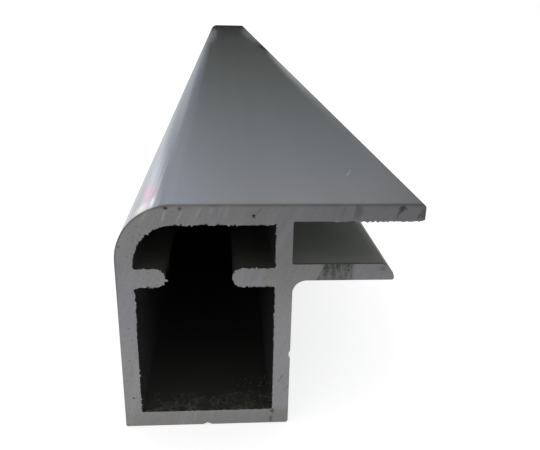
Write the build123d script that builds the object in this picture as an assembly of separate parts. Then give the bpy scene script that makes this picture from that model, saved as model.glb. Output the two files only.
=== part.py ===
from build123d import *
import os

# A length of extruded aluminium rail, one piece from end to end. A closed tube
# has a round shoulder on one side, and a top flange and a lower ledge on the
# other, which take the edge of a panel between them. Two ribs inside the tube
# split it into an upper and a lower chamber.
# Millimetres. The bar runs along Y and stands on the bottom wall, with Z up.
# The section is drawn from the tube's lower outside corner, then centred.

# The bar
bar_length = 1000.0
overall_width = 52.0      # round shoulder's side to the end of the top flange
overall_height = 42.8

# Tube
tube_width = 30.0
side_wall = 3.0
bottom_wall = 3.0
roof_wall = 3.4           # over the upper chamber
slot_wall = 2.8           # between the upper chamber and the panel slot
shoulder_radius = 9.8
chamber_shoulder_radius = 7.0

# Top flange and the ledge under it
flange_thickness = 2.9
ledge_thickness = 3.0
ledge_reach = 17.7        # from the tube's side to the tip of the nose
panel_gap = 7.7           # clear height between ledge and flange
ledge_fillet = 2.4        # where the ledge's underside meets the tube

# Ribs inside the tube
rib_thickness = 3.3
rib_drop = 0.7            # ribs' upper faces below the ledge's upper face
left_rib_reach = 5.3
right_rib_reach = 7.3

# V-shaped centre marks, pressed along the bottom and along the tube's side
mark_width = 1.7
mark_depth = 0.4

# Broken edges
foot_radius = 0.5         # tube's lower corner on the ledge's side
small_radius = 0.3        # the die's other outside and inside corners
flange_end_radius = 0.6
nose_tip_radius = 0.4

# Heights that follow from the sizes above
flange_underside = overall_height - flange_thickness
ledge_top = flange_underside - panel_gap
ledge_underside = ledge_top - ledge_thickness
chamber_top = overall_height - roof_wall
rib_top_height = ledge_top - rib_drop
rib_bottom_height = rib_top_height - rib_thickness
mark_height = ledge_underside / 2


def box_between(left, right, bottom, top):
    """A rectangle given by its four sides."""
    centre = ((left + right) / 2, (bottom + top) / 2)
    return Pos(*centre) * Rectangle(right - left, top - bottom)


def round_corner(sketch, x, z, radius):
    """Round the one corner of the sketch that lies at x, z."""
    corner = sketch.vertices().sort_by_distance((x, z, 0))[0]
    return fillet(corner, radius)


def ledge():
    """The lower ledge: flat on top, with a quarter-round nose."""
    nose_start = tube_width + ledge_reach - ledge_thickness
    plate = box_between(tube_width - slot_wall, nose_start, ledge_underside, ledge_top)
    nose = Pos(nose_start, ledge_underside) * Circle(ledge_thickness)
    nose &= box_between(nose_start, tube_width + ledge_reach, ledge_underside, ledge_top)
    shape = plate + nose
    return round_corner(shape, tube_width + ledge_reach, ledge_underside, nose_tip_radius)


def outside():
    """The outline of the whole section, as if the tube were solid."""
    slot_floor = tube_width - side_wall + slot_wall
    body = box_between(0, tube_width, 0, ledge_underside)
    body += box_between(0, slot_floor, 0, overall_height)
    body += box_between(0, overall_width, flange_underside, overall_height)
    body += ledge()
    body = round_corner(body, 0, overall_height, shoulder_radius)
    body = round_corner(body, tube_width, ledge_underside, ledge_fillet)
    body = round_corner(body, overall_width, overall_height, flange_end_radius)
    body = round_corner(body, overall_width, flange_underside, small_radius)
    body = round_corner(body, slot_floor, flange_underside, small_radius)
    body = round_corner(body, slot_floor, ledge_top, small_radius)
    body = round_corner(body, 0, 0, small_radius)
    return round_corner(body, tube_width, 0, foot_radius)


def rib(root, reach, side):
    """One rib, with a full round end. side is +1 when it points to the right."""
    end_radius = rib_thickness / 2
    end_centre = root + side * (reach - end_radius)
    # the root runs into the wall, so that rib and wall are one
    inside_wall = root - side * side_wall / 2
    left, right = sorted((inside_wall, end_centre))
    bar = box_between(left, right, rib_bottom_height, rib_top_height)
    middle = (rib_bottom_height + rib_top_height) / 2
    return bar + Pos(end_centre, middle) * Circle(end_radius)


def chambers():
    """The hollow of the tube: two chambers, joined between the ribs."""
    left = side_wall
    right = tube_width - side_wall
    hollow = box_between(left, right, bottom_wall, chamber_top)
    hollow = round_corner(hollow, left, chamber_top, chamber_shoulder_radius)
    hollow -= rib(left, left_rib_reach, 1)
    hollow -= rib(right, right_rib_reach, -1)
    sharp = [
        (left, bottom_wall),
        (right, bottom_wall),
        (right, chamber_top),
        (left, rib_bottom_height),
        (right, rib_bottom_height),
        (right, rib_top_height),
    ]
    for x, z in sharp:
        hollow = round_corner(hollow, x, z, small_radius)
    return hollow


def centre_mark(x, z, turn):
    """A V-shaped mark that opens towards the outside, turned about its mouth."""
    half = mark_width / 2
    mark = make_face(Polyline((-half, 0), (half, 0), (0, mark_depth), close=True))
    return Pos(x, z) * Rot(0, 0, turn) * mark


def section():
    shape = outside() - chambers()
    shape -= centre_mark(tube_width / 2, 0, 0)
    shape -= centre_mark(tube_width, mark_height, 90)
    return Pos(-overall_width / 2, 0) * shape


def profile_bar():
    """The section, drawn out along Y with its middle on the origin."""
    upright = Plane.XZ * section()
    return extrude(upright, amount=bar_length / 2, both=True)


os.makedirs("parts", exist_ok=True)
bar = profile_bar()
bar.label = "profile_bar"
export_step(bar, "parts/profile_bar.step")
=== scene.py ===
import math

import bpy
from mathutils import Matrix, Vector


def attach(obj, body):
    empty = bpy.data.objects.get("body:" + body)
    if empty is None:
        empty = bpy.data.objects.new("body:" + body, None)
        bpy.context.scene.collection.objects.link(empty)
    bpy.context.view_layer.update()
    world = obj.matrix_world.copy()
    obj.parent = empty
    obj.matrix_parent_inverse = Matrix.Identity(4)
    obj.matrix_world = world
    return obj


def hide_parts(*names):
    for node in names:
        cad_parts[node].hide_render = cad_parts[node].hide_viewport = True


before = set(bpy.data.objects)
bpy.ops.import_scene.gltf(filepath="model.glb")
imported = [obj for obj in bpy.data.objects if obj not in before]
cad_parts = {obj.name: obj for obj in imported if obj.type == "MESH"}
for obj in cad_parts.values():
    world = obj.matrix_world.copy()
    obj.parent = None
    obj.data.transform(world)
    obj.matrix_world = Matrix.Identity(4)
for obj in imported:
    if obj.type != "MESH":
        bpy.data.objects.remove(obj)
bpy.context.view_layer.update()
mm = 0.001

# Aluminium extrusion: a tube with a round shoulder, a top flange and a ledge.
# X across the section, Y along the bar (the sawn end faces -Y), Z up. Metres;
# section sizes are written in millimetres and scaled as they are used.


# helpers for objects and node trees

def newObject(name, data):
    made = bpy.data.objects.new(name, data)
    bpy.context.scene.collection.objects.link(made)
    return made


def addNode(tree, kind, **settings):
    node = tree.nodes.new(kind)
    for name, value in settings.items():
        setattr(node, name, value)
    node.location = (180 * (len(tree.nodes) % 14), -220 * (len(tree.nodes) // 14))
    return node


def plug(tree, value, socket):
    # a socket is linked, anything else becomes the socket's own value
    if isinstance(value, bpy.types.NodeSocket):
        tree.links.new(value, socket)
    elif value is not None:
        socket.default_value = value


def fill(tree, node, inputs):
    # a node's inputs, by name or number
    for name, value in inputs.items():
        plug(tree, value, node.inputs[name])


def built(tree, kind, inputs, **settings):
    # a node with its inputs filled in, handed back as its first output
    node = addNode(tree, kind, **settings)
    fill(tree, node, inputs)
    return node.outputs[0]


def maths(tree, operation, *values):
    return built(tree, "ShaderNodeMath", dict(enumerate(values)), operation=operation)


def plus(tree, a, b):
    return maths(tree, "ADD", a, b)


def minus(tree, a, b):
    return maths(tree, "SUBTRACT", a, b)


def times(tree, first, *others):
    for other in others:
        first = maths(tree, "MULTIPLY", first, other)
    return first


def timesPlus(tree, a, b, c):
    return maths(tree, "MULTIPLY_ADD", a, b, c)


def larger(tree, a, b):
    return maths(tree, "MAXIMUM", a, b)


def vectorMaths(tree, operation, *values):
    node = addNode(tree, "ShaderNodeVectorMath", operation=operation)
    fill(tree, node, dict(enumerate(values)))
    isNumber = operation in ("LENGTH", "DISTANCE", "DOT_PRODUCT")
    return node.outputs["Value" if isNumber else "Vector"]


def scaled(tree, vector, scale):
    return built(tree, "ShaderNodeVectorMath", {0: vector, "Scale": scale}, operation="SCALE")


def vectorOf(tree, x, y, z):
    return built(tree, "ShaderNodeCombineXYZ", {0: x, 1: y, 2: z})


def partsOf(tree, vector):
    node = addNode(tree, "ShaderNodeSeparateXYZ")
    plug(tree, vector, node.inputs[0])
    return node.outputs


def ramp(tree, value, fromLow, fromHigh, toLow=0.0, toHigh=1.0, smooth=True):
    return built(tree, "ShaderNodeMapRange", {
        "Value": value, "From Min": fromLow, "From Max": fromHigh, "To Min": toLow, "To Max": toHigh,
    }, clamp=True, interpolation_type="SMOOTHSTEP" if smooth else "LINEAR")


def band(tree, value, rise, risen, fall, fallen):
    # from 0 up to 1 between the first two, and back down between the last two
    return times(tree, ramp(tree, value, rise, risen), ramp(tree, value, fall, fallen, 1.0, 0.0))


def curveOf(tree, value, stops, span=1.0):
    # straight runs through the stops, as a colour ramp over 0..span
    node = addNode(tree, "ShaderNodeValToRGB")
    elements = node.color_ramp.elements
    for i, (at, level) in enumerate(stops):
        element = elements[i] if i < 2 else elements.new(1.0)
        element.position = at / span
        element.color = (level, level, level, 1.0)
    plug(tree, maths(tree, "DIVIDE", value, span), node.inputs[0])
    return node.outputs[0]


def noise(tree, place, scale, detail=2.0, rough=0.5):
    return built(tree, "ShaderNodeTexNoise",
                 {"Vector": place, "Scale": scale, "Detail": detail, "Roughness": rough})


def randomValue(tree, low, high, seed):
    # a float, or a vector when the limits are vectors
    isVector = isinstance(low, tuple)
    node = addNode(tree, "FunctionNodeRandomValue", data_type="FLOAT_VECTOR" if isVector else "FLOAT")
    inputs = [socket for socket in node.inputs if socket.enabled]
    for value, socket in ((low, inputs[0]), (high, inputs[1]), (seed, inputs[-1])):
        plug(tree, value, socket)
    return [socket for socket in node.outputs if socket.enabled][0]


def mixColour(tree, factor, a, b, blend="MIX"):
    node = addNode(tree, "ShaderNodeMix", data_type="RGBA", blend_type=blend, clamp_factor=True)
    plug(tree, factor, node.inputs[0])
    for colour, socket in ((a, node.inputs[6]), (b, node.inputs[7])):
        plug(tree, colour if isinstance(colour, bpy.types.NodeSocket) else (*colour, 1.0), socket)
    return node.outputs[2]


def shade(colour, level):
    # a colour times a number, or times another colour
    levels = level if isinstance(level, tuple) else (level,) * 3
    return [c * k for c, k in zip(colour, levels)]


def newMaterial(name):
    material = bpy.data.materials.new(name)
    material.use_nodes = True
    tree = material.node_tree
    return material, tree, tree.nodes["Principled BSDF"]


def objectPlace(tree):
    return addNode(tree, "ShaderNodeTexCoord").outputs["Object"]


# camera

camera = {
    "place": (-0.00781, -0.59682, 0.07295),
    "turn": (68.601, -1.182, -4.123),    # degrees
    "lens": 41.40, "sensorWidth": 36.0,  # millimetres
    "shiftY": 0.0463,
    "clipStart": 0.005,
}

cameraData = bpy.data.cameras.new("camera")
cameraData.lens = camera["lens"]
cameraData.sensor_width = camera["sensorWidth"]
cameraData.shift_y = camera["shiftY"]
cameraData.clip_start = camera["clipStart"]
cameraObject = newObject("camera", cameraData)
cameraObject.location = camera["place"]
cameraObject.rotation_euler = [math.radians(a) for a in camera["turn"]]
bpy.context.scene.camera = cameraObject
print("camera set")


# the section's sizes, in millimetres

section = {
    "length": 1000.0, "width": 52.0, "height": 42.8, "tubeWidth": 30.0,
    "sideWall": 3.0, "bottomWall": 3.0, "roofWall": 3.4, "slotWall": 2.8,
    "shoulder": 9.8, "chamberShoulder": 7.0,
    "flange": 2.9, "ledge": 3.0, "ledgeReach": 17.7, "panelGap": 7.7, "ledgeFillet": 2.4,
    "rib": 3.3, "ribDrop": 0.7, "leftRib": 5.3, "rightRib": 7.3,
    "markWidth": 1.7, "markDepth": 0.4,
    "foot": 0.5, "small": 0.3, "flangeEnd": 0.6, "noseTip": 0.4,
    "longestRun": 0.16, "turnStep": 6.0,  # between points of the outline, in mm and in degrees
}

# heights and places across the bar that follow from them, in metres
halfLength = section["length"] / 2 * mm
halfWidth = section["width"] / 2 * mm
topHeight = section["height"] * mm
slotRoof = topHeight - section["flange"] * mm
slotFloor = slotRoof - section["panelGap"] * mm
tubeFloor = section["bottomWall"] * mm
tubeRoof = topHeight - section["roofWall"] * mm
tubeLeft = section["sideWall"] * mm - halfWidth
tubeRight = (section["tubeWidth"] - section["sideWall"]) * mm - halfWidth
slotRoot = tubeRight + section["slotWall"] * mm
soft = 0.0002  # about how sharply a finish changes at an edge, in metres


# materials

sawnEnd = {
    "colour": (0.236, 0.237, 0.241),
    "roughness": 0.46,
    "bladeCentre": (0.119, -0.026),  # x, z of the saw's axis
    "arcDrift": 0.03,                # how much the arcs change from the bottom to the top
    # scales of the patterns, per metre
    "fineArcs": 3600.0, "wideArcs": 420.0, "clouding": 110.0, "tinting": 75.0, "graining": 1500.0,
    "specks": 1700.0, "smoke": 260.0, "streaks": 1500.0, "mottling": 2300.0, "ragging": 1600.0,
    "speckStrength": (-0.020, -0.008, 0.75, 0.15),  # x from, x to, strength at each
    "tints": [(1.01, 1.0, 0.975), (1.0, 0.985, 1.035)],
    "toneByX": [(0.0, 1.0), (0.20, 0.95), (0.55, 0.86), (0.80, 0.84), (1.0, 0.80)],
    "toneFrom": (0.020, 0.036),      # the heights over which toneByX sets in
    "lowTones": [(0.94, 0.93, 0.91), (0.80, 0.78, 0.755)],  # of the bottom wall, left and right
    "lowAcross": (-0.024, 0.004),    # from where to where the one turns into the other
    "lowTo": (0.0018, 0.0042),       # the heights over which they fade out
    "spots": [                       # x, z, half width, half height in mm, colour, strength
        (-17.3, 42.3, 0.70, 0.30, (0.12, 0.055, 0.03), 0.55),
        (-17.2, 42.25, 0.30, 0.24, (0.03, 0.012, 0.01), 0.9),
        (-14.8, 42.2, 0.5, 0.35, (0.075, 0.055, 0.035), 0.75),
        (-2.8, 40.9, 0.33, 0.38, (0.035, 0.012, 0.012), 0.95),
        (-24.3, 6.15, 0.24, 0.2, (0.03, 0.03, 0.03), 0.9),
        (0.75, 0.9, 0.35, 0.7, (0.05, 0.05, 0.045), 0.6),
        (1.0, 2.6, 0.45, 0.55, (0.05, 0.048, 0.042), 0.7),
        (21.9, 42.1, 0.75, 0.6, (0.045, 0.05, 0.06), 0.75),
        (25.7, 41.2, 0.7, 1.5, (0.08, 0.08, 0.075), 0.55),
        (19.6, 31.3, 0.8, 0.5, (0.10, 0.10, 0.10), 0.5),
        (-0.2, 29.0, 0.9, 0.6, (0.28, 0.255, 0.22), 0.40),
        (-0.9, 29.7, 0.35, 0.3, (0.15, 0.14, 0.12), 0.4),
    ],
    "ledgeGrime": (8.6, 14.8, (0.045, 0.052, 0.045), 0.92),  # from x, to x in mm, colour, strength
    "arris": (0.5, (0.075, 0.062, 0.052), 0.60),  # width in mm, colour, strength
    "scratches": [                   # x, z to x, z, half width in mm, colour, strength
        (-20.1, 41.8, -21.5, 39.5, 0.24, (0.36, 0.35, 0.335), 0.45),
        (-17.2, 42.0, -18.0, 39.4, 0.24, (0.42, 0.405, 0.38), 0.50),
        (-14.4, 41.8, -15.9, 39.5, 0.26, (0.36, 0.345, 0.33), 0.45),
        (-11.4, 42.5, -13.0, 39.4, 0.38, (0.32, 0.31, 0.305), 0.45),
        (-11.0, 42.4, -12.4, 39.5, 0.22, (0.12, 0.12, 0.12), 0.35),
        (-9.6, 42.6, -10.2, 40.9, 0.34, (0.31, 0.305, 0.30), 0.40),
        (-8.7, 42.5, -9.1, 40.0, 0.16, (0.12, 0.12, 0.12), 0.30),
        (-7.0, 42.7, -7.9, 39.8, 0.45, (0.31, 0.305, 0.30), 0.35),
        (-1.4, 42.5, -2.7, 40.7, 0.14, (0.08, 0.07, 0.07), 0.50),
        (15.0, 42.9, 14.2, 39.6, 0.75, (0.075, 0.080, 0.085), 0.50),
        (14.4, 42.9, 13.7, 39.6, 0.20, (0.05, 0.055, 0.055), 0.40),
        (12.4, 42.7, 11.6, 39.9, 0.35, (0.11, 0.11, 0.115), 0.30),
        (10.9, 42.7, 10.3, 40.3, 0.30, (0.13, 0.13, 0.13), 0.25),
        (22.3, 42.9, 20.7, 39.9, 0.34, (0.05, 0.052, 0.06), 0.65),
        (25.1, 41.3, 24.5, 39.9, 0.22, (0.06, 0.06, 0.06), 0.60),
        (2.9, 10.6, 1.7, 8.4, 0.17, (0.08, 0.08, 0.08), 0.60),
        (4.1, 8.5, 2.8, 6.5, 0.15, (0.09, 0.09, 0.085), 0.50),
        (-9.3, 3.0, -10.3, 0.2, 0.18, (0.13, 0.13, 0.12), 0.45),
        (-13.0, 3.0, -13.6, 0.3, 0.25, (0.33, 0.32, 0.31), 0.30),
        (-25.3, 32.9, -25.0, 29.8, 0.16, (0.15, 0.15, 0.15), 0.40),
        (3.2, 38.5, 2.4, 35.0, 0.20, (0.16, 0.16, 0.16), 0.35),
    ],
}

extrudedSkin = {
    "colour": (0.345, 0.370, 0.405),
    "roughness": 0.21,
    "metallic": 0.9,
    "drawnLines": 900.0,             # fine die lines per metre across the bar
    "drawnBands": 160.0,             # broad bands per metre
    "clouding": 45.0,
    "linesTo": (-0.019, -0.013),     # where the lines and bands grow faint, across the bar
    "insideTone": (0.96, 0.95, 0.78),
    "slotTone": (0.90, 0.88, 0.76),
    "slotSides": (1.25, 0.86),       # how light the slot is at its root and at its nose
    "slotTurn": (0.004, 0.018),      # from where to where the one turns into the other
    "slotEnd": 0.012,                # how far in the slot is dim
    "dullTone": 0.74,                # of the tube's floor, and of the slot's end
    "dustReach": 0.009, "dustColour": (0.26, 0.24, 0.18), "dustStrength": 0.34,
    "endGrime": [                    # from, to before the sawn end, strength, colour
        (0.0005, 0.0020, 0.30, (0.1725, 0.185, 0.2025)), (0.0001, 0.0009, 0.85, (0.07, 0.055, 0.04)),
    ],
    "nick": [(15.9, -481.6), (18.2, -475.3), 0.13],  # x, y to x, y, half width in mm
    "nickColour": (0.9, 0.9, 0.86), "nickStrength": 0.65,
    "reflectionsAndPatchesFrom": (0.0335, 0.0365),   # the heights over which the painted reflections and the patches set in
    "smearDrop": 0.0035,             # how much further down they go on the shoulder
    "shoulderTo": (-0.012, -0.008),  # where the shoulder ends, for the painted reflections and the patches
    "reflectionsAndPatches": [  # painted reflections and highlights, and duller patches: x, y, half width, half length in mm, colour, strength, added roughness, lean
        # painted reflections by the near end, on the shoulder: a pink band, a white highlight and a cream
        # glint
        (-21.0, -488.5, 1.35, 9.5, (0.68, 0.24, 0.30), 0.68, 0.0, -0.09),
        (-19.7, -495.8, 0.45, 4.0, (0.97, 0.96, 0.93), 0.66, 0.0, 0.0),
        (-21.6, -497.2, 1.6, 3.6, (0.88, 0.73, 0.56), 0.64, 0.0, 0.0),
        # painted reflections along the edges: a pale band on the right, which is also rougher, and dark
        # bands on both sides, which are also smoother
        (26.0, -270.0, 4.6, 190.0, (0.60, 0.66, 0.60), 0.60, 0.16, 0.0),
        (-23.0, -48.0, 5.0, 62.0, (0.20, 0.20, 0.20), 0.35, -0.05, 0.0),
        (26.0, -82.0, 5.0, 50.0, (0.15, 0.15, 0.15), 0.60, -0.09, 0.0),
        # duller, brownish patches towards the far end
        (-19.0, 165.0, 7.0, 260.0, (0.50, 0.435, 0.38), 0.52, 0.13, 0.0),
        (25.0, 185.0, 11.5, 260.0, (0.50, 0.435, 0.38), 0.52, 0.13, 0.0),
    ],
}


def blotMask(tree, place, centre, reach, wobble, ragged, full):
    # a blot, sizes in mm, its edge pushed about by noise
    centred = vectorMaths(tree, "SUBTRACT", place, [size * mm for size in centre])
    shares = vectorMaths(tree, "MULTIPLY", centred, [1 / (size * mm) if size else 0.0 for size in reach])
    away = timesPlus(tree, wobble, ragged, vectorMaths(tree, "LENGTH", shares))
    return ramp(tree, away, full, 1.2, 1.0, 0.0)


def scratchMask(tree, place, start, end, reach, wobble):
    # a line between two points in space, soft at its sides and broken up by noise
    along = Vector(end) - Vector(start)
    fromStart = vectorMaths(tree, "SUBTRACT", place, start)
    share = vectorMaths(tree, "DOT_PRODUCT", fromStart, tuple(along / along.length_squared))
    side = vectorMaths(tree, "DISTANCE", fromStart, scaled(tree, tuple(along), share))
    side = timesPlus(tree, wobble, reach * 1.5, side)
    return times(tree, ramp(tree, side, 0.0, reach * 1.2, 1.0, 0.0), band(tree, share, 0.0, 0.2, 0.5, 1.0))


def addBump(tree, shader, strength, distance, height):
    bump = built(tree, "ShaderNodeBump", {"Strength": strength, "Distance": distance, "Height": height})
    plug(tree, bump, shader.inputs["Normal"])


def sawPattern(tree, place, z):
    # the blade leaves arcs round its own axis
    finish, plain = sawnEnd, sawnEnd["colour"]
    bladeX, bladeZ = finish["bladeCentre"]
    radius = vectorMaths(tree, "DISTANCE", place, (bladeX, 0.0, bladeZ))
    arcPlace = vectorOf(tree, radius, times(tree, z, finish["arcDrift"]), 0.0)
    fineArcs = noise(tree, arcPlace, finish["fineArcs"], 3.0, 0.6)
    wideArcs = noise(tree, arcPlace, finish["wideArcs"])

    # soft clouding, cooler and warmer in turn, and a little grain
    cloud = noise(tree, place, finish["clouding"], 3.0, 0.55)
    tint = noise(tree, vectorMaths(tree, "ADD", place, (0.3, 0.1, 0.7)), finish["tinting"])
    grain = noise(tree, place, finish["graining"], 3.0, 0.6)
    colour = mixColour(tree, ramp(tree, tint, 0.35, 0.65), *(shade(plain, tone) for tone in finish["tints"]))
    for pattern, low, high, strength, level in (
            (cloud, 0.35, 0.65, 0.14, 0.70), (grain, 0.3, 0.7, 0.10, 0.72),
            (fineArcs, 0.35, 0.7, 0.16, 1.35), (wideArcs, 0.50, 0.72, 0.22, 1.35)):
        colour = mixColour(tree, ramp(tree, pattern, low, high, 0.0, strength), colour, shade(plain, level))
    return colour, grain, fineArcs


def toned(tree, colour, x, z):
    # the upper part reads darker towards the flange, and the bottom wall darker and warmer to the right
    finish = sawnEnd
    tone = curveOf(tree, ramp(tree, x, -halfWidth, halfWidth, smooth=False), finish["toneByX"])
    colour = mixColour(tree, ramp(tree, z, *finish["toneFrom"]), colour, tone, "MULTIPLY")
    lowTone = mixColour(tree, ramp(tree, x, *finish["lowAcross"], smooth=False), *finish["lowTones"])
    lower = mixColour(tree, 1.0, colour, lowTone, "MULTIPLY")
    return mixColour(tree, ramp(tree, z, *finish["lowTo"], 1.0, 0.0), colour, lower)


def arrisMask(tree, place, x, z, width, strength):
    # along the top edge and right round the shoulder, thinned out by noise
    shoulder = section["shoulder"] * mm
    toLeft = larger(tree, minus(tree, shoulder - halfWidth, x), 0.0)
    toTop = larger(tree, minus(tree, z, topHeight - shoulder), 0.0)
    fromCentre = vectorMaths(tree, "LENGTH", vectorOf(tree, toLeft, 0.0, toTop))
    toArris = minus(tree, shoulder, fromCentre)
    return times(tree, ramp(tree, toArris, 0.0, width, strength, 0.0), ramp(tree, z, 0.020, 0.034),
                 ramp(tree, noise(tree, place, sawnEnd["smoke"], 3.0, 0.6), 0.3, 0.6, 0.45, 1.0))


def grimeMask(tree, place, x, z, start, end):
    # on the ledge's end, in streaks that run up and down, darkest at the top
    under = slotFloor - section["ledge"] * mm
    upright = vectorOf(tree, x, 0.0, times(tree, z, 0.25))
    streaks = timesPlus(tree, noise(tree, place, sawnEnd["mottling"], 2.0, 0.7), 0.7,
                        noise(tree, upright, sawnEnd["streaks"], 2.0, 0.6))
    fromMiddle = minus(tree, z, (under + slotFloor) / 2)
    lean = timesPlus(tree, fromMiddle, -0.45, x)
    return times(tree, ramp(tree, lean, start - soft * 1.5, start + soft * 2),
                 ramp(tree, x, end - soft * 5, end + soft, 1.0, 0.0),
                 ramp(tree, z, under - soft, slotFloor - soft, 0.62, 1.0),
                 band(tree, z, under - soft * 4, under - soft * 2, slotFloor + soft, slotFloor + soft * 3),
                 ramp(tree, streaks, 0.68, 0.94, 0.40, 1.0))


def endMarks(tree, place, x, z):
    # grime, scratches and spots: each a mask, a colour and a strength
    finish = sawnEnd
    start, end, *paint = finish["ledgeGrime"]
    marks = [(grimeMask(tree, place, x, z, start * mm, end * mm), *paint)]
    wobble = minus(tree, noise(tree, place, finish["ragging"], 3.0, 0.7), 0.5)
    for x1, z1, x2, z2, reach, *paint in finish["scratches"]:
        start, end = (x1 * mm, 0.0, z1 * mm), (x2 * mm, 0.0, z2 * mm)
        marks.append((scratchMask(tree, place, start, end, reach * mm, wobble), *paint))
    for spotX, spotZ, spotWidth, spotHeight, *paint in finish["spots"]:
        spot = (spotX, 0.0, spotZ), (spotWidth, 0.0, spotHeight)
        marks.append((blotMask(tree, place, *spot, wobble, ragged=2.4, full=0.45), *paint))
    return marks


def makeSawnEnd():
    finish = sawnEnd
    material, tree, shader = newMaterial("sawn_end")
    x, y, z = partsOf(tree, objectPlace(tree))
    place = vectorOf(tree, x, 0.0, z)
    colour, grain, fineArcs = sawPattern(tree, place, z)
    colour = toned(tree, colour, x, z)

    # dark specks, most on the shoulder
    speckPlace = vectorMaths(tree, "ADD", place, (0.2, 0.0, 0.4))
    specks = ramp(tree, noise(tree, speckPlace, finish["specks"], 1.0), 0.66, 0.74)
    specks = times(tree, ramp(tree, x, *finish["speckStrength"]), specks)
    colour = mixColour(tree, specks, colour, shade(finish["colour"], 0.35))

    # the top arris is smoky
    width, smoke, strength = finish["arris"]
    colour = mixColour(tree, arrisMask(tree, place, x, z, width * mm, strength), colour, smoke)

    # the near end has marks, and the far one is plain
    isNear = ramp(tree, y, -0.1, 0.1, 1.0, 0.0)
    for mask, markColour, strength in endMarks(tree, place, x, z):
        colour = mixColour(tree, times(tree, mask, isNear, strength), colour, markColour)
    rough = ramp(tree, grain, 0.25, 0.75, finish["roughness"] - 0.05, finish["roughness"] + 0.07)
    fill(tree, shader, {"Base Color": colour, "Metallic": 1.0, "Roughness": rough})
    addBump(tree, shader, 0.18, 0.00004, timesPlus(tree, grain, 0.6, fineArcs))
    return material


def drawnOut(tree, place, share):
    # a pattern on this place is stretched along the bar
    return vectorMaths(tree, "MULTIPLY", place, (1.0, share, 1.0))


def dieLines(tree, place, x):
    # lines and bands drawn along the bar by the die, fainter on the flat top than on the shoulder
    finish = extrudedSkin
    lines = noise(tree, drawnOut(tree, place, 0.002), finish["drawnLines"], 3.0, 0.6)
    bands = noise(tree, drawnOut(tree, place, 0.02), finish["drawnBands"])
    strong = ramp(tree, x, *finish["linesTo"], 1.0, 0.35)
    return [timesPlus(tree, minus(tree, value, 0.5), strong, 0.5) for value in (lines, bands)]


def hollowMasks(tree, x, z):
    # inside the tube, and inside the panel slot
    inTube = times(tree, band(tree, x, tubeLeft - soft, tubeLeft + soft, tubeRight - soft, tubeRight + soft),
                   band(tree, z, tubeFloor - soft, tubeFloor, tubeRoof - soft / 2, tubeRoof + soft * 1.5))
    inSlot = times(tree, ramp(tree, x, slotRoot - soft * 3, slotRoot - soft),
                   band(tree, z, slotFloor - soft * 2, slotFloor, slotRoof, slotRoof + soft * 1.5))
    return inTube, inSlot


def nickMask(tree, place):
    # one nick on the top face
    *ends, reach = extrudedSkin["nick"]
    start, end = ((nickX * mm, nickY * mm, topHeight) for nickX, nickY in ends)
    broken = minus(tree, noise(tree, place, 700.0), 0.5)
    return scratchMask(tree, place, start, end, reach * mm, broken)


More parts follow.
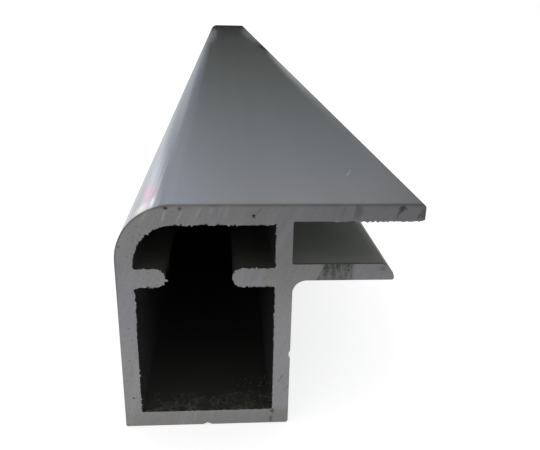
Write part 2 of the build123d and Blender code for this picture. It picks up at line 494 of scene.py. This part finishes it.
def makeExtrudedSkin():
    finish = extrudedSkin
    material, tree, shader = newMaterial("extruded_skin")
    place = objectPlace(tree)
    x, y, z = partsOf(tree, place)
    plain = finish["colour"]
    dark, light = shade(plain, 0.92), shade(plain, 1.07)
    lines, bands = dieLines(tree, place, x)
    cloud = noise(tree, drawnOut(tree, place, 0.2), finish["clouding"], 3.0)
    colour = mixColour(tree, ramp(tree, bands, 0.3, 0.7), dark, light)
    colour = mixColour(tree, ramp(tree, lines, 0.35, 0.75, 0.0, 0.10), colour, light)
    colour = mixColour(tree, ramp(tree, cloud, 0.35, 0.7, 0.0, 0.30), colour, dark)

    # the inner walls are a little warmer, and the panel slot is duller, and darker towards its nose
    inTube, inSlot = hollowMasks(tree, x, z)
    warm = shade(plain, finish["insideTone"])
    colour = mixColour(tree, inTube, colour, warm)
    root, nose = (shade(shade(plain, finish["slotTone"]), level) for level in finish["slotSides"])
    colour = mixColour(tree, inSlot, colour, mixColour(tree, ramp(tree, x, *finish["slotTurn"]), root, nose))

    # the tube's floor is duller still, and the slot dims towards its end
    fromEnd = minus(tree, halfLength, maths(tree, "ABSOLUTE", y))
    onFloor = times(tree, inTube, ramp(tree, z, tubeFloor + soft * 2, tubeFloor + soft * 6, 1.0, 0.0))
    dim = times(tree, inSlot, ramp(tree, fromEnd, 0.0, finish["slotEnd"], 0.75, 0.0))
    colour = mixColour(tree, larger(tree, onFloor, dim), colour, shade(warm, finish["dullTone"]))

    # grime in the last millimetres before each sawn end
    outside = minus(tree, 1.0, inTube)
    for near, far, strength, grimeColour in finish["endGrime"]:
        grime = times(tree, outside, ramp(tree, fromEnd, near, far, strength, 0.0))
        colour = mixColour(tree, grime, colour, grimeColour)

    # painted reflections and highlights, and duller brownish patches, on the top and on the shoulder, which
    # they follow further down
    wobble = minus(tree, noise(tree, place, 420.0, 3.0, 0.6), 0.5)
    onShoulder = ramp(tree, x, *finish["shoulderTo"], 1.0, 0.0)
    height = timesPlus(tree, onShoulder, finish["smearDrop"], z)
    onTop = times(tree, ramp(tree, height, *finish["reflectionsAndPatchesFrom"]),
                  minus(tree, 1.0, larger(tree, inTube, inSlot)))
    roughness = ramp(tree, lines, 0.3, 0.75, finish["roughness"] - 0.015, finish["roughness"] + 0.015)
    for overlayX, overlayY, halfWide, halfLong, overlayColour, strength, rougher, lean in finish["reflectionsAndPatches"]:
        leaning = timesPlus(tree, minus(tree, y, overlayY * mm), -lean, x)
        shape = (overlayX, overlayY, 0.0), (halfWide, halfLong, 0.0)
        smear = blotMask(tree, vectorOf(tree, leaning, y, 0.0), *shape, wobble, ragged=0.5, full=0.1)
        mask = times(tree, smear, onTop)
        colour = mixColour(tree, times(tree, mask, strength), colour, overlayColour)
        if rougher:
            roughness = timesPlus(tree, mask, rougher, roughness)
    nick = times(tree, nickMask(tree, place), finish["nickStrength"])
    colour = mixColour(tree, nick, colour, finish["nickColour"])

    # dust lies in clumps on the tube's floor just inside the mouth
    dust = times(tree, onFloor, ramp(tree, fromEnd, 0.0, finish["dustReach"], 1.0, 0.0),
                 ramp(tree, noise(tree, place, 1250.0, 4.0, 0.75), 0.40, 0.70),
                 ramp(tree, noise(tree, place, 330.0, 3.0, 0.6), 0.36, 0.62, 0.15, 1.25))
    colour = mixColour(tree, times(tree, dust, finish["dustStrength"]), colour, finish["dustColour"])
    plug(tree, colour, shader.inputs["Base Color"])
    for name, value, inDust, inDullSlot in (("Metallic", finish["metallic"], -0.20, -0.35),
                                            ("Roughness", roughness, 0.25, 0.12)):
        value = timesPlus(tree, dust, inDust, value)
        plug(tree, timesPlus(tree, inSlot, inDullSlot, value), shader.inputs[name])
    addBump(tree, shader, 0.035, 0.00008, bands)
    return material


skinMaterial = makeExtrudedSkin()
endMaterial = makeSawnEnd()
print("materials made")


# the section's outline

def arcPoints(centre, radius, fromAngle, toAngle):
    count = max(2, math.ceil(abs(toAngle - fromAngle) / section["turnStep"]))
    angles = [math.radians(fromAngle + (toAngle - fromAngle) * i / count) for i in range(count + 1)]
    return [(centre[0] + radius * math.cos(a), centre[1] + radius * math.sin(a)) for a in angles]


def roundedCorner(before, corner, after):
    # the corner's arc between two straight runs, or the bare point
    at, radius = Vector(corner[:2]), corner[2]
    if not radius:
        return [tuple(at)]
    back, ahead = (Vector(before) - at).normalized(), (Vector(after) - at).normalized()
    half = back.angle(ahead) / 2
    middle = at + (back + ahead).normalized() * (radius / math.sin(half))
    first, last = at + back * (radius / math.tan(half)), at + ahead * (radius / math.tan(half))
    start = math.degrees(math.atan2(*(first - middle).yx))
    end = math.degrees(math.atan2(*(last - middle).yx))
    turn = (end - start + 180) % 360 - 180
    return arcPoints(middle, radius, start, start + turn)


def closedOutline(corners):
    # corners are (x, z, radius), or a ready list of points
    def nearest(item, side):
        return item[side] if isinstance(item, list) else item[:2]
    points = []
    for i, corner in enumerate(corners):
        if isinstance(corner, list):
            points += corner
        else:
            before, after = corners[i - 1], corners[(i + 1) % len(corners)]
            points += roundedCorner(nearest(before, -1), corner, nearest(after, 0))
    # long straight runs are divided
    dense = []
    for (x, z), (nextX, nextZ) in zip(points, points[1:] + points[:1]):
        pieces = max(1, math.ceil(math.dist((x, z), (nextX, nextZ)) / section["longestRun"]))
        dense += [(x + (nextX - x) * i / pieces, z + (nextZ - z) * i / pieces) for i in range(pieces)]
    return dense


def outerOutline(s):
    tube = s["tubeWidth"]
    under = s["height"] - s["flange"]
    ledgeTop = under - s["panelGap"]
    ledgeUnder = ledgeTop - s["ledge"]
    rootX = tube - s["sideWall"] + s["slotWall"]
    halfMark, middle, side = s["markWidth"] / 2, tube / 2, ledgeUnder / 2
    # quarter-round nose with a small tip radius
    noseX = tube + s["ledgeReach"] - s["ledge"]
    tip = s["noseTip"]
    reach = math.sqrt((s["ledge"] - tip) ** 2 - tip ** 2)
    tipAngle = math.degrees(math.atan2(tip, reach))
    nose = arcPoints((noseX + reach, ledgeUnder + tip), tip, -90, tipAngle)
    nose += arcPoints((noseX, ledgeUnder), s["ledge"], tipAngle, 90)[1:]
    return closedOutline([
        (0, 0, s["small"]),
        (middle - halfMark, 0, 0), (middle, s["markDepth"], 0), (middle + halfMark, 0, 0),
        (tube, 0, s["foot"]),
        (tube, side - halfMark, 0), (tube - s["markDepth"], side, 0), (tube, side + halfMark, 0),
        (tube, ledgeUnder, s["ledgeFillet"]),
        nose,
        (rootX, ledgeTop, s["small"]),
        (rootX, under, s["small"]),
        (s["width"], under, s["small"]),
        (s["width"], s["height"], s["flangeEnd"]),
        (0, s["height"], s["shoulder"]),
    ])


def innerOutline(s):
    left, right = s["sideWall"], s["tubeWidth"] - s["sideWall"]
    low, top = s["bottomWall"], s["height"] - s["roofWall"]
    ribTop = s["height"] - s["flange"] - s["panelGap"] - s["ribDrop"]
    ribLow = ribTop - s["rib"]
    middle, end = (ribTop + ribLow) / 2, s["rib"] / 2
    leftEnd = arcPoints((left + s["leftRib"] - end, middle), end, -90, 90)
    rightEnd = arcPoints((right - s["rightRib"] + end, middle), end, 90, 270)
    # walked the other way round, so that the metal stays on the same hand
    return closedOutline([
        (left, low, s["small"]),
        (left, ribLow, s["small"]),
        leftEnd,
        (left, ribTop, 0),
        (left, top, s["chamberShoulder"]),
        (right, top, s["small"]),
        (right, ribTop, s["small"]),
        rightEnd,
        (right, ribLow, s["small"]),
        (right, low, s["small"]),
    ])


def addOutline(curve, outline, y=None, closed=True):
    # flat in the curve's own plane, or standing in the section's plane at y
    spline = curve.splines.new("POLY")
    spline.points.add(len(outline) - 1)
    for point, (x, z) in zip(spline.points, outline):
        x, z = (x - section["width"] / 2) * mm, z * mm
        point.co = (x, z, 0.0, 1.0) if y is None else (x, y, z, 1.0)
    spline.use_cyclic_u = closed


def sectionCurve():
    curve = bpy.data.curves.new("section", "CURVE")
    curve.dimensions = "2D"
    addOutline(curve, outerOutline(section))
    addOutline(curve, innerOutline(section))
    return curve


# the bar, drawn out from the section by Geometry Nodes

bar = {
    "inputs": {
        "Stations": 21,
        "Crowding": 4.0,       # how closely the stations gather at the ends
        "Burr Height": 0.00046, "Burr Depth": 0.00015,
        "Burr Pitch": 2300.0,  # burrs per metre along the edge
        "Seed": 4.0,
    },
    "tubeGrowth": (0.016, 0.029),    # the heights over which the tube's burrs set in
    "flangeGrowth": (0.008, 0.014),  # where across the bar the flange's do
    "rubbed": 0.55,            # how much lower the burrs are where they were rubbed off
    "rubbedRib": (-0.0066, 0.0299),  # x, z of the right rib's end
    "rubbedReach": 0.0020,           # how far round it
    "spurs": [                 # x, z, reach along the edge and height in mm; below zero is a pit
        (-17.7, 29.5, 0.30, 0.42), (-19.9, 31.5, 0.30, 0.18), (-18.9, 31.4, 0.25, 0.15),
        (-23.0, 26.6, 0.9, 0.16), (-23.0, 24.6, 1.0, 0.20), (-23.0, 22.9, 0.7, 0.12),
        (-18.96, 38.74, 0.28, -0.20), (-20.31, 37.92, 0.24, 0.34), (-20.8, 37.5, 0.2, -0.26),
        (-21.36, 36.9, 0.25, 0.16), (-22.06, 35.9, 0.3, -0.16), (-22.58, 34.8, 0.4, 0.16),
        (1.0, 39.2, 0.5, -0.25), (1.0, 34.9, 0.5, -0.2), (1.0, 22.7, 0.4, 0.2),
    ],
}


def newTree(name, inputs, *materials):
    # numbers go in by name with their values, and materials by name, to be given later
    tree = bpy.data.node_groups.new(name, "GeometryNodeTree")

    def addSocket(label, kind, way="INPUT"):
        return tree.interface.new_socket(name=label, in_out=way, socket_type="NodeSocket" + kind)
    addSocket("Geometry", "Geometry")
    for label, value in inputs.items():
        addSocket(label, "Int" if isinstance(value, int) else "Float").default_value = value
    for label in materials:
        addSocket(label, "Material")
    addSocket("Geometry", "Geometry", "OUTPUT")
    return tree, tree.nodes.new("NodeGroupInput").outputs, tree.nodes.new("NodeGroupOutput").inputs[0]


def setInputs(modifier, values):
    # by each socket's identifier
    for item in modifier.node_group.interface.items_tree:
        if item.item_type == "SOCKET" and item.in_out == "INPUT" and item.name in values:
            modifier[item.identifier] = values[item.name]


def positionOf(tree):
    return tree.nodes.new("GeometryNodeInputPosition").outputs[0]


def movedTo(tree, geometry, position):
    return built(tree, "GeometryNodeSetPosition", {"Geometry": geometry, "Position": position})


def inBox(tree, offset):
    # a point moved by the offset, yet never out of the section's own box
    moved = vectorMaths(tree, "ADD", positionOf(tree), offset)
    moved = vectorMaths(tree, "MAXIMUM", moved, (-halfWidth, 0.0, 0.0))
    return vectorMaths(tree, "MINIMUM", moved, (halfWidth, topHeight, 10.0))


def burrVector(tree, burrHeight, pitch, seed):
    # the tube's inner edges and the flange's underside are ragged, most where the edge faces down
    tangentX, tangentZ = partsOf(tree, built(tree, "GeometryNodeInputTangent", {}))[:2]
    outward = vectorOf(tree, tangentZ, times(tree, tangentX, -1.0), 0.0)
    facingDown = ramp(tree, tangentX, -0.6, 0.8, 0.45, 1.0)
    position = positionOf(tree)
    x, z = partsOf(tree, position)[:2]

    # the lower half of the tube and the flange were left cleaner, and so were two rounded stretches
    isInner = tree.nodes.new("GeometryNodeCurveOfPoint").outputs["Curve Index"]
    underside = maths(tree, "COMPARE", z, slotRoof, soft)
    where = larger(tree, times(tree, isInner, ramp(tree, z, *bar["tubeGrowth"], 0.28, 1.0)),
                   times(tree, ramp(tree, x, *bar["flangeGrowth"]), underside, 0.62))
    onShoulder = times(tree, ramp(tree, x, -0.018, -0.0155, 1.0, 0.0), ramp(tree, z, 0.032, 0.034))
    toRib = vectorMaths(tree, "DISTANCE", position, (*bar["rubbedRib"], 0.0))
    rubbed = larger(tree, onShoulder, maths(tree, "LESS_THAN", toRib, bar["rubbedReach"]))
    left = timesPlus(tree, rubbed, -bar["rubbed"], 1.0)

    seeded = vectorMaths(tree, "ADD", scaled(tree, position, pitch), scaled(tree, (7.3, 3.1, 5.7), seed))
    teeth = ramp(tree, noise(tree, seeded, 1.0, 2.0, 0.7), 0.46, 0.72, smooth=False)
    elsewhere = vectorMaths(tree, "ADD", seeded, (31.0, 17.0, 5.0))
    pits = ramp(tree, noise(tree, elsewhere, 0.8, 1.0), 0.5, 0.74, 0.0, 0.75, smooth=False)
    height = times(tree, minus(tree, teeth, pits), left, facingDown, burrHeight)
    for spurX, spurZ, reach, spurHeight in bar["spurs"]:
        away = vectorMaths(tree, "DISTANCE", position, (spurX * mm, spurZ * mm, 0.0))
        height = plus(tree, height, ramp(tree, away, 0.0, reach * mm, spurHeight * mm, 0.0))
    return scaled(tree, outward, times(tree, height, where))


def withMaterial(tree, geometry, material, selection=None):
    return built(tree, "GeometryNodeSetMaterial",
                 {"Geometry": geometry, "Material": material, "Selection": selection})


def marked(tree, geometry, name, value, **settings):
    return built(tree, "GeometryNodeStoreNamedAttribute",
                 {"Geometry": geometry, "Name": name, "Value": value}, **settings)


def joined(tree, *parts):
    node = addNode(tree, "GeometryNodeJoinGeometry")
    for part in parts:
        plug(tree, part, node.inputs[0])
    return node.outputs[0]


def barTree():
    inputs = {"Length": section["length"] * mm, **bar["inputs"]}
    tree, want, result = newTree("extruded_bar", inputs, "Skin", "Sawn End")
    burr = burrVector(tree, want["Burr Height"], want["Burr Pitch"], want["Seed"])
    outline = marked(tree, want["Geometry"], "burr", burr, data_type="FLOAT_VECTOR", domain="POINT")

    # stations along the bar, close together at the two ends
    line = built(tree, "GeometryNodeCurvePrimitiveLine", {"End": (0.0, 0.0, 1.0)})
    divided = built(tree, "GeometryNodeResampleCurve", {"Curve": line, "Count": want["Stations"]})
    along = tree.nodes.new("GeometryNodeSplineParameter").outputs["Factor"]
    near = maths(tree, "POWER", along, want["Crowding"])
    far = maths(tree, "POWER", minus(tree, 1.0, along), want["Crowding"])
    share = maths(tree, "DIVIDE", near, plus(tree, near, far))
    station = vectorOf(tree, 0.0, 0.0, times(tree, share, want["Length"]))
    sweep = built(tree, "GeometryNodeCurveToMesh",
                  {"Curve": movedTo(tree, divided, station), "Profile Curve": outline})

    # the burr dies away within a fraction of a millimetre from either end
    fromNear = partsOf(tree, positionOf(tree))[2]
    fromEnd = maths(tree, "MINIMUM", fromNear, minus(tree, want["Length"], fromNear))
    fade = maths(tree, "EXPONENT", maths(tree, "DIVIDE", times(tree, fromEnd, -1.0), want["Burr Depth"]))
    stored = built(tree, "GeometryNodeInputNamedAttribute", {"Name": "burr"}, data_type="FLOAT_VECTOR")
    skin = movedTo(tree, sweep, inBox(tree, scaled(tree, stored, fade)))

    # the sawn ends close the bar with the same ragged outline
    filled = built(tree, "GeometryNodeFillCurve", {0: movedTo(tree, outline, inBox(tree, stored))})
    turned = built(tree, "GeometryNodeFlipFaces", {0: filled})
    atFar = vectorOf(tree, 0.0, 0.0, want["Length"])
    moved = built(tree, "GeometryNodeTransform", {"Geometry": filled, "Translation": atFar})
    sawn = marked(tree, joined(tree, turned, moved), "sawn", True, data_type="BOOLEAN", domain="FACE")
    whole = joined(tree, skin, sawn)
    merged = built(tree, "GeometryNodeMergeByDistance", {"Geometry": whole, "Distance": 0.000001})

    # lay the bar down: drawn along +Z, it ends up along Y and centred
    laid = built(tree, "GeometryNodeTransform", {
        "Geometry": merged, "Rotation": (math.radians(90), 0.0, 0.0),
        "Translation": vectorOf(tree, 0.0, times(tree, want["Length"], 0.5), 0.0),
    })
    real = built(tree, "GeometryNodeRealizeInstances", {0: laid})
    isSawn = built(tree, "GeometryNodeInputNamedAttribute", {"Name": "sawn"}, data_type="BOOLEAN")
    finished = withMaterial(tree, withMaterial(tree, real, want["Skin"]), want["Sawn End"], isSawn)
    plug(tree, finished, result)
    return tree


def meshFrom(name, data, tree, values):
    # the tree's result on the data, as a plain mesh of its own
    source = newObject(name + "_source", data)
    modifier = source.modifiers.new(name, "NODES")
    modifier.node_group = tree
    setInputs(modifier, values)
    bpy.context.view_layer.update()
    mesh = bpy.data.meshes.new_from_object(source.evaluated_get(bpy.context.evaluated_depsgraph_get()))
    mesh.name = name
    piece = newObject(name, mesh)
    source.modifiers.clear()
    bpy.data.objects.remove(source)
    while mesh.materials and mesh.materials[0] is None:
        mesh.materials.pop(index=0)        # the source's own empty slot
    print(name, "made:", len(mesh.vertices), "vertices,", len(mesh.polygons), "faces")
    return piece


finishes = {"Skin": skinMaterial, "Sawn End": endMaterial}
profileBar = meshFrom("profile_bar_skin", sectionCurve(), barTree(), finishes)
profileBar.data.shade_smooth()
profileBar.data.set_sharp_from_angle(angle=math.radians(24))
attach(profileBar, "root")
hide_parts("profile_bar")


# loose metal: crumbs along the sawn edges, and swarf on the tube's floor

crumbs = {
    "inputs": {
        "Spacing": 0.00036,    # along the edges
        "Share": 0.55,         # how many of the places hold a crumb
        "Size": 0.00013,
        "Depth": 0.00008,      # how far back from the sawn end they lie
        "Seed": 7,
    },
    "stray": 0.00009,          # how far they leave the edge
    "growth": (0.012, 0.026),  # the heights over which they set in
    "scales": [(0.3, 0.3, 0.3), (1.7, 1.2, 1.5)],
    "dark": (0.10, 0.10, 0.09), "pale": (0.54, 0.53, 0.50),
    "roughness": 0.5, "metallic": 0.3,
}

swarf = {
    "centre": (-0.0100, -0.4925, 0.0030),
    "sizeX": 0.0215, "sizeY": 0.0145,
    "inputs": {
        "Density": 1500000.0,  # curls per square metre at the mouth
        "Curl Radius": 0.00020, "Thickness": 0.000042,
        "Fade": 0.0038,        # how far in they reach
        "Seed": 3,
    },
    "fadeAcross": (-0.020, -0.001, 0.2, 1.8),  # x from, x to, the share of it at each
    "curlTurn": 200.0,         # degrees
    "clearance": 0.00001,      # between the curls and the tube's floor
    "scales": [(0.5, 0.4, 0.3), (2.2, 1.6, 1.4)],
    "dark": (0.05, 0.045, 0.030), "pale": (0.32, 0.285, 0.20),
    "roughness": 0.6, "metallic": 0.6,
}
fullTurn = 6.28  # radians


def makeLooseMetal(name, finish):
    material, tree, shader = newMaterial(name)
    place = objectPlace(tree)
    spread = ramp(tree, noise(tree, place, 1400.0, 2.0, 0.6), 0.35, 0.68)
    middle = finish["roughness"]
    fill(tree, shader, {
        "Base Color": mixColour(tree, spread, finish["dark"], finish["pale"]),
        "Metallic": finish["metallic"],
        "Roughness": ramp(tree, noise(tree, place, 5000.0), 0.3, 0.7, middle - 0.1, middle + 0.1),
    })
    return material


def thinnedOut(tree, points, chance, seed):
    # each point is kept by its own chance
    dropped = maths(tree, "GREATER_THAN", randomValue(tree, 0.0, 1.0, seed), chance)
    thinning = {"Geometry": points, "Selection": dropped}
    return built(tree, "GeometryNodeDeleteGeometry", thinning, domain="POINT")


def scattered(tree, points, instance, scales, seed, floorHeight=0.0):
    # one copy at each point, turned and scaled at random, kept behind the end plane and above the floor
    copies = built(tree, "GeometryNodeInstanceOnPoints", {
        "Points": points, "Instance": instance,
        "Rotation": randomValue(tree, (0.0,) * 3, (fullTurn,) * 3, seed),
        "Scale": randomValue(tree, *scales, seed),
    })
    real = built(tree, "GeometryNodeRealizeInstances", {0: copies})
    inside = vectorMaths(tree, "MAXIMUM", positionOf(tree), (-1.0, -halfLength, floorHeight))
    inside = vectorMaths(tree, "MINIMUM", inside, (halfWidth, 1.0, topHeight))
    return movedTo(tree, real, inside)


def crumbTree():
    tree, want, result = newTree("edge_crumbs", crumbs["inputs"], "Material")
    stray = crumbs["stray"]
    points = built(tree, "GeometryNodeCurveToPoints", {"Curve": want["Geometry"], "Length": want["Spacing"]},
                   mode="LENGTH")
    # fewer low down in the tube
    height = partsOf(tree, positionOf(tree))[2]
    share = times(tree, want["Share"], ramp(tree, height, *crumbs["growth"], 0.30, 1.0))
    thinned = thinnedOut(tree, points, share, want["Seed"])
    jitter = randomValue(tree, (-stray, 0.0, -stray), (stray, 1.0, stray), want["Seed"])
    offset = vectorMaths(tree, "MULTIPLY", jitter, vectorOf(tree, 1.0, want["Depth"], 1.0))
    moved = built(tree, "GeometryNodeSetPosition", {"Geometry": thinned, "Offset": offset})
    lump = built(tree, "GeometryNodeMeshIcoSphere", {"Radius": want["Size"], "Subdivisions": 1})
    kept = scattered(tree, moved, lump, crumbs["scales"], want["Seed"])
    plug(tree, withMaterial(tree, kept, want["Material"]), result)
    return tree


def swarfTree():
    tree, want, result = newTree("tube_swarf", swarf["inputs"], "Material")
    patch = built(tree, "GeometryNodeMeshGrid", {
        "Size X": swarf["sizeX"], "Size Y": swarf["sizeY"], "Vertices X": 2, "Vertices Y": 2,
    })
    onFloor = built(tree, "GeometryNodeTransform", {"Geometry": patch, "Translation": swarf["centre"]})
    points = built(tree, "GeometryNodeDistributePointsOnFaces",
                   {"Mesh": onFloor, "Density": want["Density"], "Seed": want["Seed"]})

    # fewer and fewer away from the mouth, in clusters, and further in towards the right
    position = positionOf(tree)
    x, y = partsOf(tree, position)[:2]
    fromMouth = plus(tree, y, halfLength)
    reach = times(tree, want["Fade"], ramp(tree, x, *swarf["fadeAcross"]))
    chance = maths(tree, "EXPONENT", maths(tree, "DIVIDE", times(tree, fromMouth, -1.0), reach))
    clustered = ramp(tree, noise(tree, position, 420.0, 2.0, 0.6), 0.38, 0.66)
    thinned = thinnedOut(tree, points, times(tree, chance, clustered), want["Seed"])

    arc = built(tree, "GeometryNodeCurveArc", {
        "Resolution": 6, "Radius": want["Curl Radius"], "Sweep Angle": math.radians(swarf["curlTurn"]),
    })
    wire = built(tree, "GeometryNodeCurvePrimitiveCircle", {"Resolution": 3, "Radius": want["Thickness"]})
    curl = built(tree, "GeometryNodeCurveToMesh", {"Curve": arc, "Profile Curve": wire, "Fill Caps": True})
    kept = scattered(tree, thinned, curl, swarf["scales"], want["Seed"], tubeFloor + swarf["clearance"])
    plug(tree, withMaterial(tree, kept, want["Material"]), result)
    return tree


def crumbPath():
    # the inner outline and the flange's underside, standing in the plane of the sawn end
    curve = bpy.data.curves.new("crumb_path", "CURVE")
    curve.dimensions = "3D"
    under = section["height"] - section["flange"] - 0.05
    flange = [(section["width"] - 0.4 - 0.25 * i, under) for i in range(60)]
    addOutline(curve, innerOutline(section), -halfLength)
    addOutline(curve, flange, -halfLength, closed=False)
    return curve


crumbMetal = {"Material": makeLooseMetal("crumb_metal", crumbs)}
edgeCrumbs = meshFrom("edge_crumbs", crumbPath(), crumbTree(), crumbMetal)
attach(edgeCrumbs, "root")

swarfMetal = {"Material": makeLooseMetal("swarf_metal", swarf)}
tubeSwarf = meshFrom("tube_swarf", bpy.data.meshes.new("swarf_floor"), swarfTree(), swarfMetal)
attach(tubeSwarf, "root")


# floor, light and background

white = (1.0, 1.0, 1.0, 1.0)

floor = {
    "left": -20.0, "right": 20.0, "near": -20.0, "far": 20.0, "z": -0.00005,
    "colour": (0.53, 0.53, 0.53),
    "glow": 0.63,              # lifts the floor to white, and leaves its shadow
}

# dark card behind the far end, which the top face mirrors: lighter upwards and to the left
backCard = {
    "y": 0.62, "width": 4.0, "height": 1.6,
    "byHeight": [(0.0, 0.0), (0.07, 0.003), (0.11, 0.009), (0.17, 0.080), (0.21, 0.170), (0.26, 0.23),
                 (0.37, 0.38), (0.6, 0.65), (0.9, 1.0)],
    "byX": [(0.0, 1.25), (0.2, 1.22), (0.3, 1.06), (0.4, 0.97), (0.6, 0.86), (0.75, 0.5), (0.9, 0.3)],
    "byXStart": -0.3,                # where the stops of byX begin
    "byLeft": [(0.035, 0.0), (0.07, 0.40), (0.13, 0.57), (0.20, 0.48), (0.25, 0.39), (0.28, 0.42),
               (0.31, 0.98), (0.38, 1.32), (0.5, 1.28)],
    "leftHeight": (0.10, 0.55),      # how high the left part reaches, near and far from the middle
    "leftLift": 0.09, "rightLift": 0.15,
    "tintLow": (1.0, 0.99, 0.58), "tintMiddle": (0.92, 1.0, 1.06), "tintHigh": (1.04, 1.0, 0.97),
    "tintLeft": (0.95, 0.98, 1.06),
}

# grey card lying in front, out of the camera's view, which the sawn end mirrors
frontCard = {
    "left": -0.12, "right": 0.6, "near": -1.6, "far": -0.55, "z": 0.0006,
    "byX": [(0.0, 0.9), (0.06, 0.75), (0.11, 0.45), (0.15, 0.28), (0.25, 0.12), (0.5, 0.2)],
    "brightEdge": 0.06,              # the strip along its far edge that turns white
}

# cards lying beside the bar: the ledge's nose mirrors the right one, and the shoulder's side the left one
rightCard = {"left": 0.034, "right": 0.7, "near": -0.499, "far": 0.6, "z": 0.0006, "level": (0.26, 0.34)}
leftCard = {"left": -1.5, "right": -0.03, "near": -0.499, "far": 0.6, "z": 0.0006, "level": (1.00, 0.68)}


def flatCorners(sheet):
    left, right, near, far, z = (sheet[side] for side in ("left", "right", "near", "far", "z"))
    return [(left, near, z), (right, near, z), (right, far, z), (left, far, z)]


def makeSheet(name, corners):
    # one flat face of the studio, with a material of its own
    mesh = bpy.data.meshes.new(name)
    mesh.from_pydata(corners, [], [(0, 1, 2, 3)])
    sheet = newObject(name, mesh)
    material, tree, shader = newMaterial(name)
    mesh.materials.append(material)
    return sheet, tree, shader


def makeFloor():
    sheet, tree, shader = makeSheet("floor", flatCorners(floor))
    # camera, glossy and transmission rays see it glow
    path = addNode(tree, "ShaderNodeLightPath").outputs
    seen = larger(tree, path["Is Camera Ray"],
                  larger(tree, path["Is Glossy Ray"], path["Is Transmission Ray"]))
    fill(tree, shader, {
        "Base Color": (*floor["colour"], 1.0), "Roughness": 0.9, "Specular IOR Level": 0.1,
        "Emission Color": white, "Emission Strength": times(tree, seen, floor["glow"]),
    })


def makeWorld():
    world = bpy.data.worlds.new("world")
    bpy.context.scene.world = world
    world.use_nodes = True
    fill(world.node_tree, world.node_tree.nodes["Background"], {"Color": white, "Strength": 1.0})


def makeCard(name, corners, level, tint=None):
    # a one-sided glowing card that only reflections see
    card, tree, shader = makeSheet(name, corners)
    tree.nodes.remove(shader)
    place = partsOf(tree, objectPlace(tree))
    glow = built(tree, "ShaderNodeEmission",
                 {"Strength": level(tree, *place), "Color": tint(tree, *place) if tint else None})
    clear = built(tree, "ShaderNodeBsdfTransparent", {})
    isBack = addNode(tree, "ShaderNodeNewGeometry").outputs["Backfacing"]
    oneSided = built(tree, "ShaderNodeMixShader", {0: isBack, 1: glow, 2: clear})
    plug(tree, oneSided, tree.nodes["Material Output"].inputs["Surface"])
    card.visible_camera = card.visible_diffuse = card.visible_shadow = False


def backLevel(tree, x, y, z):
    card = backCard
    toLeft = times(tree, x, -1.0)
    fromStart = minus(tree, x, card["byXStart"])
    level = times(tree, curveOf(tree, z, card["byHeight"], card["height"]),
                  curveOf(tree, fromStart, card["byX"]))
    leftLift = times(tree, ramp(tree, toLeft, 0.03, 0.15, 0.0, card["leftLift"]), ramp(tree, z, 0.08, 0.2))
    rightLift = times(tree, ramp(tree, x, 0.22, 0.42, 0.0, card["rightLift"]),
                      ramp(tree, z, 0.1, 0.3, 1.0, 0.0))
    level = plus(tree, plus(tree, level, leftLift), rightLift)

    # the left part is brighter, and reaches higher the further left it is
    left = curveOf(tree, toLeft, card["byLeft"])
    reach = ramp(tree, toLeft, 0.1, 0.4, *card["leftHeight"])
    low = ramp(tree, maths(tree, "DIVIDE", z, reach), 0.6, 1.4, 1.0, 0.0)
    return larger(tree, level, times(tree, left, low))


def backTint(tree, x, y, z):
    card = backCard
    lower = mixColour(tree, ramp(tree, z, 0.12, 0.26), card["tintLow"], card["tintMiddle"])
    whole = mixColour(tree, ramp(tree, z, 0.28, 0.38), lower, card["tintHigh"])
    return mixColour(tree, ramp(tree, x, -0.07, -0.02, 1.0, 0.0), whole, card["tintLeft"])


def frontLevel(tree, x, y, z):
    card = frontCard
    level = curveOf(tree, minus(tree, x, card["left"]), card["byX"])
    bright = ramp(tree, y, card["far"] - card["brightEdge"], card["far"])
    return plus(tree, times(tree, level, minus(tree, 1.0, bright)), bright)


def rightLevel(tree, x, y, z):
    return ramp(tree, x, rightCard["left"], rightCard["right"], *rightCard["level"])


def leftLevel(tree, x, y, z):
    return ramp(tree, y, -0.45, 0.1, *leftCard["level"])


def makeCards():
    half, top = backCard["width"] / 2, backCard["height"]
    standing = [(x, backCard["y"], z) for x, z in ((-half, 0), (half, 0), (half, top), (-half, top))]
    makeCard("back_card", standing, backLevel, backTint)
    makeCard("front_card", flatCorners(frontCard), frontLevel)
    makeCard("right_card", flatCorners(rightCard), rightLevel)
    makeCard("left_card", flatCorners(leftCard), leftLevel)


makeFloor()
makeWorld()
makeCards()
bpy.context.scene.view_settings.view_transform = "Standard"
print("stage set")
